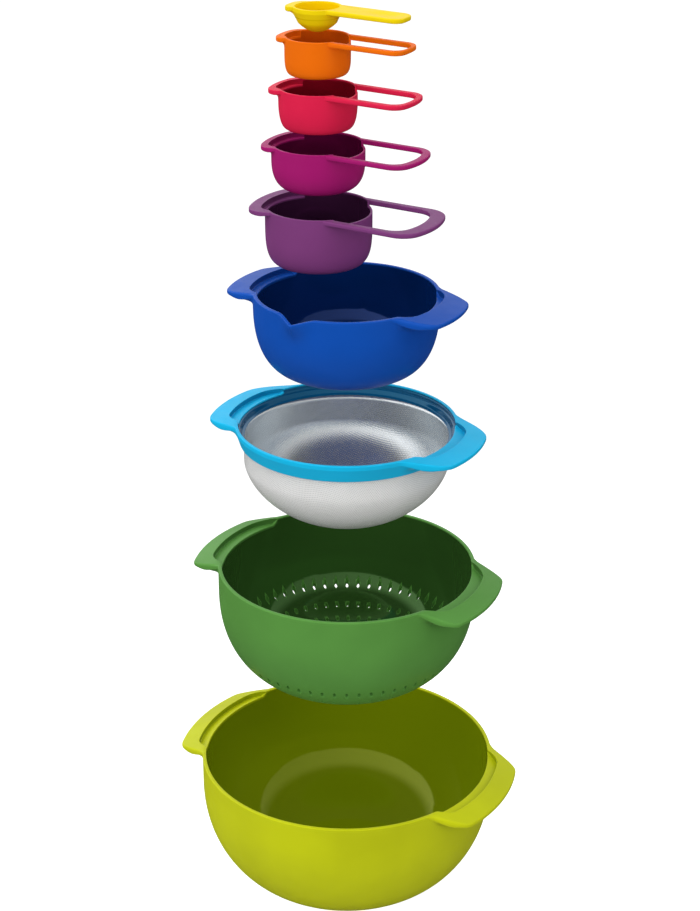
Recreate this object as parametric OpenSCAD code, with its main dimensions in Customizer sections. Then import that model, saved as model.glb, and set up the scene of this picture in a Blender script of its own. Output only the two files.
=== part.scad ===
// Nesting kitchen set: a large mixing bowl, a colander, a fine mesh sieve, a small
// mixing bowl with a pouring lip, four measuring cups and a measuring spoon.
// The pieces stand one above another, each below the next that nests in it, and each
// slides straight down until its wings or its handle lie in the recess below.
// Millimetres. Z = 0 is the table, +X points along the wings and the cup handles.

/* [Tower] */
// Height of the large bowl's rim above the table
large_rim_z = 130.8; // [125:0.1:140]
// Rise from the large bowl's rim to the colander's rim, pieces apart
colander_rise = 195.9; // [125:0.1:260]
// Rise from the colander's rim to the sieve's rim
sieve_rise = 137.9; // [95:0.1:200]
// Rise from the sieve's rim to the small bowl's rim
small_rise = 120.6; // [80:0.1:180]
// Rise from the small bowl's rim to the 250 ml cup's rim
cup_250_rise = 72.3; // [55:0.1:110]
// Rise from the 250 ml cup's rim to the 125 ml cup's rim
cup_125_rise = 53.5; // [45:0.1:90]
// Rise from the 125 ml cup's rim to the 85 ml cup's rim
cup_85_rise = 47.3; // [40:0.1:80]
// Rise from the 85 ml cup's rim to the 60 ml cup's rim
cup_60_rise = 42.1; // [36:0.1:80]
// Rise from the 60 ml cup's rim to the spoon's rim
spoon_rise = 24.4; // [24:0.1:60]

/* [Bowl walls] */
// Wall thickness at the rims of the bowls and the colander
bowl_wall = 3.3; // [2.8:0.1:3.5]
// Floor thickness of the bowls and the colander
bowl_floor = 3.4; // [2.8:0.1:4]
// Wall thickness of the measuring cups and the spoon
cup_wall = 1.8; // [1.5:0.1:1.9]

/* [Large mixing bowl] */
// Outer radius of the rim
large_r = 135.4; // [135:0.1:136]
// Radius to the tip of each wing
large_tip = 159.1; // [157:0.1:161]
// How far the wing tips hang below the rim
large_droop = 8.1; // [7.8:0.1:8.4]
// Radius of the base
large_base_r = 48.9; // [46:0.1:52]

/* [Colander] */
// Outer radius of the rim
colander_r = 115.9; // [115.5:0.1:116.3]
// Depth from the rim to the base
colander_h = 113.0; // [108:0.1:115]
// Radius to the tip of each wing
colander_tip = 140.9; // [140:0.1:141.2]
// How far the wing tips hang below the rim
colander_droop = 8.2; // [8:0.1:8.6]
// Radius of the base
colander_base_r = 38.0; // [36:0.1:42]

/* [Sieve] */
// Outer radius of the plastic rim
sieve_r = 97.9; // [97.5:0.1:98.3]
// Radius to the tip of each wing
sieve_tip = 123.3; // [122:0.1:123.6]
// How far the wing tips hang below the rim
sieve_droop = 4.4; // [4.2:0.1:4.8]
// Height of the plastic rim band
sieve_band_h = 16.0; // [15.5:0.1:17]
// Outer radius of the mesh at its top
mesh_r = 90.1; // [90:0.1:90.2]
// Depth of the mesh below the rim
mesh_h = 87.0; // [80:0.1:90]
// Thickness of the mesh
mesh_t = 0.5; // [0.4:0.1:0.7]

/* [Small mixing bowl] */
// Outer radius of the rim
small_r = 80.1; // [80:0.1:80.4]
// Depth from the rim to the underside of the foot
small_h = 72.0; // [71:0.1:73]
// Radius to the tip of each wing
small_tip = 105.0; // [104:0.1:105.2]
// How far the wing tips hang below the rim
small_droop = 4.8; // [4.6:0.1:5.2]
// Radius of the base
small_base_r = 42.6; // [41:0.1:44]
// Radius to the tip of the pouring lip
lip_tip_r = 88.6; // [86:0.1:88.8]
// Direction of the pouring lip in plan
lip_angle = -95; // [-100:1:-85]

/* [Measuring cups] */
// How far the cups' axis lies behind the bowls' axis
cup_axis_x = 26.4; // [26:0.1:26.8]
// Thickness of the handles and the left lips
handle_t = 4.0; // [3.5:0.1:4]
// Outer radius and depth of the 250 ml cup
cup_250_size = [45.5, 50.6]; // [40:0.1:55]
// Outer radius and depth of the 125 ml cup
cup_125_size = [39.4, 38.6]; // [35:0.1:42]
// Outer radius and depth of the 85 ml cup
cup_85_size = [32.9, 34.0]; // [30:0.1:36]
// Outer radius and depth of the 60 ml cup
cup_60_size = [27.3, 31.4]; // [25:0.1:32]
// Outer radius and depth of the 15 ml spoon
spoon_size = [20.3, 20.4]; // [19:0.1:21]

/* [Hidden] */
$fn = 96;
colander_rim_z = large_rim_z + colander_rise;
sieve_rim_z = colander_rim_z + sieve_rise;
small_rim_z = sieve_rim_z + small_rise;
cup_250_rim_z = small_rim_z + cup_250_rise;
cup_125_rim_z = cup_250_rim_z + cup_125_rise;
cup_85_rim_z = cup_125_rim_z + cup_85_rise;
cup_60_rim_z = cup_85_rim_z + cup_60_rise;
spoon_rim_z = cup_60_rim_z + spoon_rise;
// clearances round a nested piece, in plan and below it
plan_gap = 0.5;
under_gap = 0.4;
// floors of the wing recesses at their outer end, below the rim they are cut in
large_recess_z = -6.7;
colander_recess_z = -7.3;
sieve_recess_z = -5.9;
small_recess_z = -5.8;
// half angles of each wing in degrees: its tip's full reach, then where it meets the rim
large_span = [17.7, 31.2];
colander_span = [18.7, 31.7];
sieve_span = [15.5, 37.5];
small_span = [15.5, 36];
// foot rings: how far they stand out of the bowl base and how deep they sit in it
foot_out = 1.0;
foot_in = 1.2;
// handle outlines in the cup's own frame: back end, front end, half width, corner radius
cup_250_plan = [-56.9, 109.7, 38.5, 19];
cup_125_plan = [-46.0, 96.6, 31.5, 16];
cup_85_plan = [-39.5, 89.6, 26.0, 13];
cup_60_plan = [-33.5, 84.6, 19.3, 11];
spoon_plan = [-26.5, 81.2, 13.6, 9];
// drain holes: ring radius, count, radial half length, half width
drain_rings = [[102.2, 60, 2.1, 1.5], [89.3, 54, 1.7, 1.6], [77.0, 48, 1.6, 1.6],
    [64.0, 42, 1.6, 1.6], [51.0, 36, 1.6, 1.6]];

// Half of a bowl section from the rim down to the base: a straight band, then a
// rounded quarter whose squareness is n. Each point is [radius, height].
function curve(r, band, h, base_r, n, steps) =
    [for (i = [0:steps]) let(s = 90 * i / steps)
        [base_r + (r - base_r) * pow(cos(s), 2 / n),
         -band - (h - band) * pow(sin(s), 2 / n)]];

function backwards(list) = [for (i = [len(list) - 1:-1:0]) list[i]];

// Solid of revolution: outer and inner curves joined by a softened rim.
module vessel(r, band, h, base_r, n, wall, floor_t, steps = 16) {
    soft = wall * 0.3;
    outside = curve(r, band, h, base_r, n, steps);
    inside = curve(r - wall, band, h - floor_t, base_r - wall * 0.4, n, steps);
    rotate_extrude()
        polygon(concat([[0, -h]], backwards(outside),
            [[r, -soft], [r - soft, 0], [r - wall + soft, 0], [r - wall, -soft]],
            inside, [[0, floor_t - h]]));
}

// 1 over the middle of a wing, falling smoothly to 0 where it meets the rim.
function blend(a, span) = a <= span[0] ? 1 : a >= span[1] ? 0 :
    let(t = (a - span[0]) / (span[1] - span[0])) 1 - t * t * (3 - 2 * t);

function polar(r, a) = [r * cos(a), r * sin(a)];

// Crescent outline of one wing, closed along an arc of radius r_in.
module wing_plan(r, tip, span, grow, r_in, steps = 18) {
    polygon(concat(
        [for (i = [-steps:steps]) let(a = i * span[1] / steps)
            polar(r + grow + (tip - r) * blend(abs(a), span), a)],
        [for (i = [steps:-1:-steps]) polar(r_in, i * span[1] / steps)]));
}

// Two opposite wings whose upper face slopes down from the rim to the tips.
// Their underside runs parallel to it beyond r + gusset and thickens towards the wall.
module wings(r, tip, span, droop, root_t, edge_t, r_in, gusset) {
    slope = droop / (tip - r);
    reach = tip + 2;
    for (turn = [0, 180])
        rotate(turn)
            intersection() {
                translate([0, 0, -40])
                    linear_extrude(50)
                        wing_plan(r - 0.3, tip, span, 0, r_in);
                rotate_extrude()
                    polygon([[r_in - 1, -0.05], [r, -0.05], [reach, -slope * (reach - r)],
                        [reach, -slope * (reach - r) - edge_t],
                        [r + gusset, -slope * gusset - edge_t], [r + 3, -root_t],
                        [r_in - 1, -root_t - 4]]);
            }
}

// Space that the next smaller piece's wings take when it is nested.
module wing_recess(r, tip, span, droop, floor_z) {
    slope = droop / (tip - r);
    for (turn = [0, 180])
        rotate(turn)
            intersection() {
                translate([0, 0, floor_z - 2])
                    linear_extrude(30)
                        wing_plan(r, tip, [span[0], span[1] + 4], plan_gap, r - 4);
                rotate_extrude()
                    polygon([[r - 5, 20], [tip + 3, 20], [tip + 3, floor_z - slope * 3],
                        [r - 5, floor_z + slope * (tip - r + 5)]]);
            }
}

// One rounded end of a handle outline, from its middle to its side, angle by angle.
function end_points(reach, half_w, corner, rho) =
    let(f = asin((half_w - corner) / (rho - corner)),
        cx = reach - rho + (rho - corner) * cos(f),
        cy = (rho - corner) * sin(f))
    concat([for (i = [0:5]) let(a = f * i / 6) [reach - rho + rho * cos(a), rho * sin(a)]],
        [for (i = [0:8]) let(a = f + (90 - f) * i / 8)
            [cx + corner * cos(a), cy + corner * sin(a)]]);

function mirror_y(list) = [for (p = list) [p[0], -p[1]]];
function mirror_x(list) = [for (p = list) [-p[0], p[1]]];

// Handle and lip outline of a cup, grown by g. Both ends are arcs round the bowls' axis.
module cup_plan(plan, g) {
    front = end_points(plan[1] + g, plan[2] + g, plan[3] + g, plan[1] + g - cup_axis_x);
    back = mirror_x(end_points(-plan[0] + g, plan[2] + g, plan[3] + g,
        -plan[0] + g + cup_axis_x));
    half = concat(front, backwards(back));
    rest = backwards(mirror_y([for (i = [1:len(half) - 2]) half[i]]));
    polygon(concat(half, rest));
}

// The flat web of a cup, between heights top and bottom, falling a little to each end.
module cup_web(plan, g, top, bottom) {
    intersection() {
        translate([0, 0, -30])
            linear_extrude(60)
                cup_plan(plan, g);
        rotate([90, 0, 0])
            linear_extrude(120, center = true)
                polygon([[-75, top - 1.8], [-15, top], [15, top], [125, top - 2.6],
                    [125, bottom - 2.6], [15, bottom], [-15, bottom], [-75, bottom - 1.8]]);
    }
}

// Measuring cup at the height of its rim, recessed for the next smaller one.
module cup(size, band, base_r, n, plan, next_plan) {
    r = size[0];
    difference() {
        union() {
            vessel(r, band, size[1], base_r, n, cup_wall, cup_wall, 12);
            difference() {
                cup_web(plan, 0, -0.05, -handle_t);
                cylinder(h = 40, r = r - cup_wall / 2, center = true);
            }
            // thicker root under the back lip
            intersection() {
                rotate_extrude()
                    polygon([[r - cup_wall / 2, -2], [r + 3.2, -2], [r + 3.2, -handle_t],
                        [r - cup_wall / 2, -handle_t - 4.6]]);
                translate([-100, -60, -30])
                    cube([100 - plan[2] * 0.75, 120, 60]);
                translate([0, 0, -30])
                    linear_extrude(60)
                        cup_plan(plan, 0);
            }
        }
        if (len(next_plan) > 0)
            cup_web(next_plan, plan_gap, 10, -handle_t - under_gap);
    }
}

module foot_ring(r_out, r_in, z) {
    translate([0, 0, z])
        rotate_extrude()
            polygon([[r_in, foot_out + foot_in], [r_in, 0.6], [r_in + 0.6, 0],
                [r_out - 0.6, 0], [r_out, 0.6], [r_out, foot_out + foot_in]]);
}

// Groove in a bowl base that a foot ring is pressed into.
module foot_groove(r_out, r_in, z) {
    translate([0, 0, z])
        difference() {
            cylinder(h = foot_out + foot_in, r = r_out + 0.05);
            translate([0, 0, -1])
                cylinder(h = 10, r = r_in - 0.05);
        }
}

module mixing_bowl_large() {
    color("yellowgreen")
        difference() {
            translate([0, 0, large_rim_z])
                difference() {
                    union() {
                        vessel(large_r, 28.5, large_rim_z - foot_out, large_base_r, 2.07,
                            bowl_wall, bowl_floor, 18);
                        wings(large_r, large_tip, large_span, large_droop, 12, 4,
                            large_r - 1.5, 13);
                    }
                    wing_recess(colander_r, colander_tip, colander_span, colander_droop,
                        large_recess_z);
                }
            foot_groove(large_base_r - 1.5, large_base_r - 9.5, 0);
        }
}

module mixing_bowl_large_foot() {
    color("darkolivegreen")
        foot_ring(large_base_r - 1.5, large_base_r - 9.5, 0);
}

module colander() {
    color("forestgreen")
        translate([0, 0, colander_rim_z])
            difference() {
                union() {
                    vessel(colander_r, 24.2, colander_h - 1.5, colander_base_r, 2.24,
                        bowl_wall, bowl_floor - 0.4, 18);
                    wings(colander_r, colander_tip, colander_span, colander_droop, 12, 3.7,
                        colander_r - 1.5, 15);
                    // moulded foot
                    rotate_extrude()
                        polygon([[colander_base_r - 4, -colander_h],
                            [colander_base_r - 1, -colander_h],
                            [colander_base_r, 3 - colander_h],
                            [colander_base_r - 5, 3 - colander_h]]);
                }
                wing_recess(sieve_r, sieve_tip, sieve_span, sieve_droop, colander_recess_z);
                for (ring = drain_rings)
                    for (i = [0:ring[1] - 1])
                        rotate(360 * (i + 0.5) / ring[1])
                            translate([ring[0], 0, -colander_h - 5])
                                linear_extrude(colander_h - 30)
                                    polygon([[-ring[2], 0], [-ring[2] * 0.4, -ring[3] * 0.8],
                                        [ring[2] * 0.4, -ring[3]], [ring[2], 0],
                                        [ring[2] * 0.4, ring[3]],
                                        [-ring[2] * 0.4, ring[3] * 0.8]]);
            }
}

module sieve_rim() {
    b = sieve_band_h;
    color("deepskyblue")
        translate([0, 0, sieve_rim_z])
            difference() {
                union() {
                    rotate_extrude()
                        polygon([[mesh_r + 1.5, -b], [sieve_r - 4, -b], [sieve_r - 1.8, -9],
                            [sieve_r, -2.5], [sieve_r, -1], [sieve_r - 1, 0],
                            [mesh_r + 5.6, 0], [mesh_r + 4.8, -0.8], [mesh_r + 4.4, -5.6],
                            [mesh_r + 3.4, -5.95], [mesh_r + 1.9, -10.6],
                            [mesh_r - 0.3, -11], [mesh_r - 0.3, -11.5],
                            [mesh_r + 1.5, -11.5]]);
                    wings(sieve_r, sieve_tip, sieve_span, sieve_droop, 9.4, 3.9,
                        sieve_r - 2.5, 13.5);
                }
                wing_recess(small_r, small_tip, small_span, small_droop, sieve_recess_z);
            }
}

module sieve_hoop() {
    color("silver")
        translate([0, 0, sieve_rim_z])
            rotate_extrude()
                polygon([[mesh_r + 0.5, 0.4 - sieve_band_h], [mesh_r + 1.4, 0.4 - sieve_band_h],
                    [mesh_r + 1.4, -11.6], [mesh_r + 0.5, -11.6]]);
}

module sieve_mesh() {
    outside = curve(mesh_r + 0.4, 34.1, mesh_h, 26.2, 1.65, 20);
    inside = curve(mesh_r + 0.4 - mesh_t, 34.1, mesh_h - mesh_t, 26.2, 1.65, 20);
    color("lightgray")
        translate([0, 0, sieve_rim_z])
            rotate_extrude()
                polygon(concat([[0, -mesh_h]], backwards(outside),
                    [[mesh_r + 0.4, -11.6], [mesh_r + 0.4 - mesh_t, -11.6]],
                    inside, [[0, mesh_t - mesh_h]]));
}

// Pouring lip of the small bowl in plan: a soft V that runs out to radius tip.
module lip_plan(r, tip, r_in, half = 15, steps = 10) {
    polygon(concat(
        [for (i = [-steps:steps]) let(a = i * half / steps, x = 1 - abs(i) / steps)
            polar(r - 0.3 + (tip - r + 0.3) * x * x * (1.6 - 0.6 * x), a)],
        [for (i = [steps:-1:-steps]) polar(r_in, i * half / steps)]));
}

module mixing_bowl_small() {
    r_in = small_r - bowl_wall;
    color("royalblue")
        translate([0, 0, small_rim_z])
            difference() {
                union() {
                    vessel(small_r, 10.2, small_h - foot_out, small_base_r, 2.39,
                        bowl_wall, bowl_floor - 0.4, 18);
                    wings(small_r, small_tip, small_span, small_droop, 9.8, 3.8,
                        small_r - 1.5, 13.3);
                    intersection() {
                        translate([0, 0, -30])
                            linear_extrude(40)
                                rotate(lip_angle)
                                    lip_plan(small_r, lip_tip_r, small_r - 1.5);
                        rotate_extrude()
                            polygon([[small_r - 3, -0.05], [small_r, -0.05],
                                [lip_tip_r + 1, -4.9], [lip_tip_r + 1, -6.4],
                                [small_r - 3, -22]]);
                    }
                }
                intersection() {
                    translate([0, 0, -30])
                        linear_extrude(40)
                            rotate(lip_angle)
                                lip_plan(r_in, lip_tip_r - bowl_wall + 0.6, r_in - 6);
                    rotate_extrude()
                        polygon([[r_in - 5, 5], [lip_tip_r, 5], [lip_tip_r, -4.2],
                            [r_in - 5, -21]]);
                }
                translate([-cup_axis_x, 0, 0])
                    intersection() {
                        translate([0, 0, small_recess_z])
                            linear_extrude(20)
                                cup_plan(cup_250_plan, plan_gap);
                        difference() {
                            translate([0, 0, -25])
                                cylinder(h = 50, r = 130);
                            translate([cup_axis_x, 0, -30])
                                cylinder(h = 60, r = r_in - 10);
                        }
                    }
                translate([0, 0, -small_h])
                    foot_groove(small_base_r - 1.5, small_base_r - 8, 0);
            }
}

module mixing_bowl_small_foot() {
    color("midnightblue")
        foot_ring(small_base_r - 1.5, small_base_r - 8, small_rim_z - small_h);
}

module measuring_cup_250() {
    color("rebeccapurple")
        translate([-cup_axis_x, 0, cup_250_rim_z])
            cup(cup_250_size, 13.6, 25.9, 3.46, cup_250_plan, cup_125_plan);
}

module measuring_cup_125() {
    color("mediumvioletred")
        translate([-cup_axis_x, 0, cup_125_rim_z])
            cup(cup_125_size, 12.0, 19.8, 2.61, cup_125_plan, cup_85_plan);
}

module measuring_cup_85() {
    color("crimson")
        translate([-cup_axis_x, 0, cup_85_rim_z])
            cup(cup_85_size, 10.0, 25.0, 2.49, cup_85_plan, cup_60_plan);
}

module measuring_cup_60() {
    color("orangered")
        translate([-cup_axis_x, 0, cup_60_rim_z])
            cup(cup_60_size, 12.1, 18.5, 3.66, cup_60_plan, spoon_plan);
}

module measuring_spoon_15() {
    color("gold")
        translate([-cup_axis_x, 0, spoon_rim_z])
            cup(spoon_size, 6.4, 4.2, 1.42, spoon_plan, []);
}

mixing_bowl_large();
mixing_bowl_large_foot();
colander();
sieve_rim();
sieve_hoop();
sieve_mesh();
mixing_bowl_small();
mixing_bowl_small_foot();
measuring_cup_250();
measuring_cup_125();
measuring_cup_85();
measuring_cup_60();
measuring_spoon_15();
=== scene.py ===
"""Looks for the nesting kitchen set: smooth moulded bowls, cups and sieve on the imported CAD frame."""

import math

import bmesh
import bpy
import numpy as np
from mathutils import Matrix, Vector


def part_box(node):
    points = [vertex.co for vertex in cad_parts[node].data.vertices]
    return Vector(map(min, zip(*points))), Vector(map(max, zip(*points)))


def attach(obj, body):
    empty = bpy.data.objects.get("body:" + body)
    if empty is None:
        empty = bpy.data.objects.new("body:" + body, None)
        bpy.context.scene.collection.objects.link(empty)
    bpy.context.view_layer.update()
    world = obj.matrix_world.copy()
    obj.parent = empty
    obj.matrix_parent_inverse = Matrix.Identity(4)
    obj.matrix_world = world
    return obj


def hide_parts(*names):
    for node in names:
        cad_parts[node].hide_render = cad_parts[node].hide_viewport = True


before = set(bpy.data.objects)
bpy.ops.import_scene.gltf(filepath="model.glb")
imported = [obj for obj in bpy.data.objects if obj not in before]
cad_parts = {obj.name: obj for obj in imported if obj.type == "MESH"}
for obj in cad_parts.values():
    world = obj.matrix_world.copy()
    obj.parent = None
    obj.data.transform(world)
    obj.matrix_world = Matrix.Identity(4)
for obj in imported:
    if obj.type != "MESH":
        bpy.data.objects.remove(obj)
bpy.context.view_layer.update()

MM = 0.001

# ---------------------------------------------------------------- sizes, in millimetres
WALL = 3.3
CUP_WALL = 1.8
CUP_AXIS_X = -26.4
HANDLE_T = 4.0
PLAN_GAP = 0.5
UNDER_GAP = 0.4

# rim radius, straight band, depth, base radius, squareness, floor thickness
SHAPES = {
    "large": (135.4, 28.5, 129.8, 48.9, 2.07, 3.4),
    "colander": (115.9, 24.2, 111.5, 38.0, 2.24, 3.0),
    "small": (80.1, 10.2, 71.0, 42.6, 2.39, 3.0),
    "cup_250": (45.5, 13.6, 50.6, 25.9, 3.46, 1.8),
    "cup_125": (39.4, 12.0, 38.6, 19.8, 2.61, 1.8),
    "cup_85": (32.9, 10.0, 34.0, 25.0, 2.49, 1.8),
    "cup_60": (27.3, 12.1, 31.4, 18.5, 3.66, 1.8),
    "spoon": (20.3, 6.4, 20.4, 4.2, 1.42, 1.8),
}
# rim radius, tip radius, half angles in degrees (full reach, meeting the rim),
# droop at the tip, root depth, edge thickness
WINGS = {
    "large": (135.4, 159.1, (17.7, 31.2), 8.1, 12.0, 4.0),
    "colander": (115.9, 140.9, (18.7, 31.7), 8.2, 12.0, 3.7),
    "sieve": (97.9, 123.3, (15.5, 37.5), 4.4, 9.4, 3.9),
    "small": (80.1, 105.0, (15.5, 36.0), 4.8, 9.8, 3.8),
}
LEDGE_SPREAD = 4.0  # how much further round than the next wing its recess runs, in degrees
# floor of each piece's wing recess, measured from its own rim
RECESS_FLOOR = {"large": -6.7, "colander": -7.3, "sieve": -5.9, "small": -5.8}
FOOT_TOP = 2.15  # upper face of the rubber feet, above their lower one
# sieve rim: upper wall, foot of the recess, bore of the band, edge of the lip
COLLAR_WALL, COLLAR_STEP, BAND_BORE, COLLAR_LIP = 95.2, 94.7, 91.6, 89.5
HOOP_IN, HOOP_OUT, HOOP_TOP, HOOP_BOTTOM = 90.65, 91.45, -11.65, -15.6
# sieve mesh: rim radius, straight band, depth, base radius, squareness, cloth thickness
CLOTH = (90.4, 34.1, 86.9, 26.2, 1.65, 0.36)
CLOTH_TOP = 11.7
# drain holes: ring radius, count, radial half length, half width
DRAIN_RINGS = [
    (101.7, 60, 2.5, 1.7),
    (89.0, 54, 1.9, 1.7),
    (77.0, 48, 1.7, 1.65),
    (64.0, 42, 1.6, 1.6),
    (51.0, 36, 1.6, 1.6),
]
LIP_AT, LIP_HALF = -95, 15  # pouring lip: direction and half width in degrees
LIP_REACH, LIP_DROP = 8.2, 4.4
OUT_START, IN_START = 18.0, 14.0  # depths where a bowl's plain outer and inner walls begin
CUP_START = 13.0
LINING_ROUGH, LINING_SPECULAR = 0.06, 1.0
# back end, front end, half width, corner radius, about each cup's own axis
PLANS = {
    "cup_250": (-56.9, 109.7, 38.5, 19.0),
    "cup_125": (-46.0, 96.6, 31.5, 16.0),
    "cup_85": (-39.5, 89.6, 26.0, 13.0),
    "cup_60": (-33.5, 84.6, 19.3, 11.0),
    "spoon": (-26.5, 81.2, 13.6, 9.0),
}


def rim_z(node):
    """Height of a piece's rim in millimetres, read from the frame."""
    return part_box(node)[1].z / MM


# ---------------------------------------------------------------- sections
def wall_radius(shape, depth):
    """Outer radius of a vessel at a depth below its rim."""
    r, band, h, base, n = shape[:5]
    u = np.clip((np.asarray(depth, float) - band) / (h - band), 0, 1)
    return base + (r - base) * (1 - u**n) ** (1 / n)


def quarter(shape, start, count):
    """Points (radius, -depth) down a vessel's wall from depth start to its base."""
    r, band, h, base, n = shape[:5]
    first = max(start, band)
    s0 = math.asin(min(1.0, ((first - band) / (h - band)) ** (n / 2)))
    s = np.linspace(s0, math.pi / 2, count)
    rr = base + (r - base) * np.maximum(np.cos(s), 0) ** (2 / n)
    dd = band + (h - band) * np.sin(s) ** (2 / n)
    if start < band - 0.5:
        extra = np.linspace(start, band, 6)[:-1]
        rr = np.r_[np.full(5, r), rr]
        dd = np.r_[extra, dd]
    return rr, -dd


def inner_shape(shape, wall):
    r, band, h, base, n, floor = shape
    return (r - wall, band, h - floor, base - wall * 0.4, n, 0)


def smooth(x):
    x = np.clip(x, 0, 1)
    return x * x * (3 - 2 * x)


def wing_blend(angle, span):
    return 1 - smooth((np.abs(angle) - span[0]) / (span[1] - span[0]))


def turn(n):
    """Angles of n columns once round."""
    return np.linspace(0, 2 * math.pi, n, endpoint=False)


def fold(theta):
    """Angle from the nearer wing's mid plane, in degrees."""
    deg = np.degrees(theta) % 180
    return np.where(deg > 90, deg - 180, deg)


def rounded(corners, cuts, straights, arc):
    """A path through corner points with each inner corner rounded by a curve.

    corners: list of (n, 2) arrays. cuts: a length for each inner corner, or (before, after).
    straights: points added along each straight stretch. Returns (rows, n, 2)."""
    rows = [corners[0]]
    last = corners[0]
    for i in range(1, len(corners) - 1):
        c = corners[i]
        before, after = corners[i - 1] - c, corners[i + 1] - c
        lb = np.linalg.norm(before, axis=1) + 1e-9
        la = np.linalg.norm(after, axis=1) + 1e-9
        cut = cuts[i - 1]
        cut_b, cut_a = cut if isinstance(cut, tuple) else (cut, cut)
        cb = np.minimum(cut_b, 0.47 * lb)
        ca = np.minimum(cut_a, 0.47 * la)
        p = c + before * (cb / lb)[:, None]
        q = c + after * (ca / la)[:, None]
        for k in range(1, straights[i - 1] + 1):
            rows.append(last + (p - last) * (k / (straights[i - 1] + 1)))
        for k in range(arc + 1):
            t = k / arc
            rows.append((1 - t) ** 2 * p + 2 * t * (1 - t) * c + t * t * q)
        last = q
    for k in range(1, straights[-1] + 1):
        rows.append(last + (corners[-1] - last) * (k / (straights[-1] + 1)))
    rows.append(corners[-1])
    return np.array(rows)


def cols(r, z, n):
    return np.stack([np.broadcast_to(r, n), np.broadcast_to(z, n)], 1).astype(float)


def deck(start, end, count, top_z):
    """Rows across an upper face from one radius to another."""
    radii = [start + (end - start) * (k / count) for k in range(1, count + 1)]
    return np.array([np.stack([rad, top_z(rad)], 1) for rad in radii])


def grid_faces(m, n):
    """Quads between m closed rings of n points."""
    faces = []
    for a in range(0, (m - 1) * n, n):
        for j in range(n):
            k = (j + 1) % n
            faces.append((a + j, a + k, a + n + k, a + n + j))
    return faces


# ---------------------------------------------------------------- meshes
def make_object(name, verts, faces, edge=None, inside=None):
    mesh = bpy.data.meshes.new(name)
    mesh.from_pydata([tuple(v) for v in verts * MM], [], faces)
    for p in mesh.polygons:
        p.use_smooth = True
    # inside holds the painted shade of the plastics' inner walls; on the sieve mesh it marks the inner
    # face
    for label, values in (("edge", edge), ("inside", inside)):
        layer = mesh.attributes.new(label, "FLOAT", "POINT")
        if values is not None:
            layer.data.foreach_set("value", np.asarray(values, np.float32))
    obj = bpy.data.objects.new(name, mesh)
    bpy.context.scene.collection.objects.link(obj)
    return obj


def lathe(name, theta, rows, centre=(0, 0), top=0.0, closed=False, edge=None, inside=None):
    """Skin a grid of sections (rows, columns, 2). Open ends are closed by a pole on the axis."""
    m, n = rows.shape[:2]
    c, s = np.cos(theta), np.sin(theta)
    x = rows[:, :, 0] * c + centre[0]
    y = rows[:, :, 0] * s + centre[1]
    z = rows[:, :, 1] + top
    verts = np.stack([x, y, z], -1).reshape(-1, 3)
    nxt = (np.arange(n) + 1) % n
    faces = []
    last = m if closed else m - 1
    for i in range(last):
        a = i * n
        b = ((i + 1) % m) * n
        faces += [(a + j, a + k, b + k, b + j) for j, k in zip(range(n), nxt.tolist())]
    e = np.repeat(edge if edge is not None else np.zeros(m), n)
    dark = (inside if inside is not None else np.zeros((m, n))).ravel()
    if not closed:
        poles = np.array([[*centre, z[0].mean()], [*centre, z[-1].mean()]])
        first, final = len(verts), len(verts) + 1
        verts = np.concatenate([verts, poles])
        e = np.r_[e, 0, 0]
        dark = np.r_[dark, dark[0], dark[-1]]
        faces += [(k, j, first) for j, k in zip(range(n), nxt.tolist())]
        b = (m - 1) * n
        faces += [(b + j, b + k, final) for j, k in zip(range(n), nxt.tolist())]
    return make_object(name, verts, faces, e, dark)


def fix_normals(obj):
    bm = bmesh.new()
    bm.from_mesh(obj.data)
    bmesh.ops.remove_doubles(bm, verts=bm.verts, dist=1e-6)
    bmesh.ops.recalc_face_normals(bm, faces=bm.faces)
    bm.to_mesh(obj.data)
    bm.free()


def line_inside(obj):
    """Give the faces that lie wholly on the inner wall the second material."""
    mesh = obj.data
    deep = np.empty(len(mesh.vertices), np.float32)
    mesh.attributes["inside"].data.foreach_get("value", deep)
    corner = np.empty(len(mesh.loops), np.int64)
    mesh.loops.foreach_get("vertex_index", corner)
    first = np.empty(len(mesh.polygons), np.int64)
    mesh.polygons.foreach_get("loop_start", first)
    lowest = np.minimum.reduceat(deep[corner], first)
    mesh.polygons.foreach_set("material_index", (lowest > 0.9).astype(np.int32))


def edge_rows(rows, gain):
    """1 near the most curved rows of a section, for worn edges."""
    mid = rows[:, rows.shape[1] // 2]
    d = np.gradient(mid, axis=0)
    ang = np.unwrap(np.arctan2(d[:, 1], d[:, 0]))
    step = np.linalg.norm(d, axis=1) + 1e-6
    k = np.abs(np.gradient(ang)) / step
    return np.clip(k * gain, 0, 1)


def painted_shade_mask(rows, wall_r, edge_z, recess_wall_shade=0.6):
    """Where the inner tone is darkened as painted shade: 0 outside and on the rim, part way on a
    recess's upright wall, 1 on the inner wall.

    edge_z is the height at each column where the inner wall starts."""
    inner = np.arange(len(rows))[:, None] > np.argmax(rows[:, :, 1], axis=0)[None, :]
    rad, z = rows[:, :, 0], rows[:, :, 1]
    on_wall = rad < wall_r + 0.35
    # painted shade on the inner wall, full from just below its top edge
    deep = smooth((edge_z - z - 0.5) / 1.4) * on_wall
    steep = np.abs(np.gradient(z, axis=0)) / (np.abs(np.gradient(rad, axis=0)) + 1e-6)
    # weaker painted shade on the steep walls of the recesses
    upright = recess_wall_shade * smooth((steep - 1.0) / 2.0) * ~on_wall
    return np.where(inner, np.maximum(deep, upright), 0.0)


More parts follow.
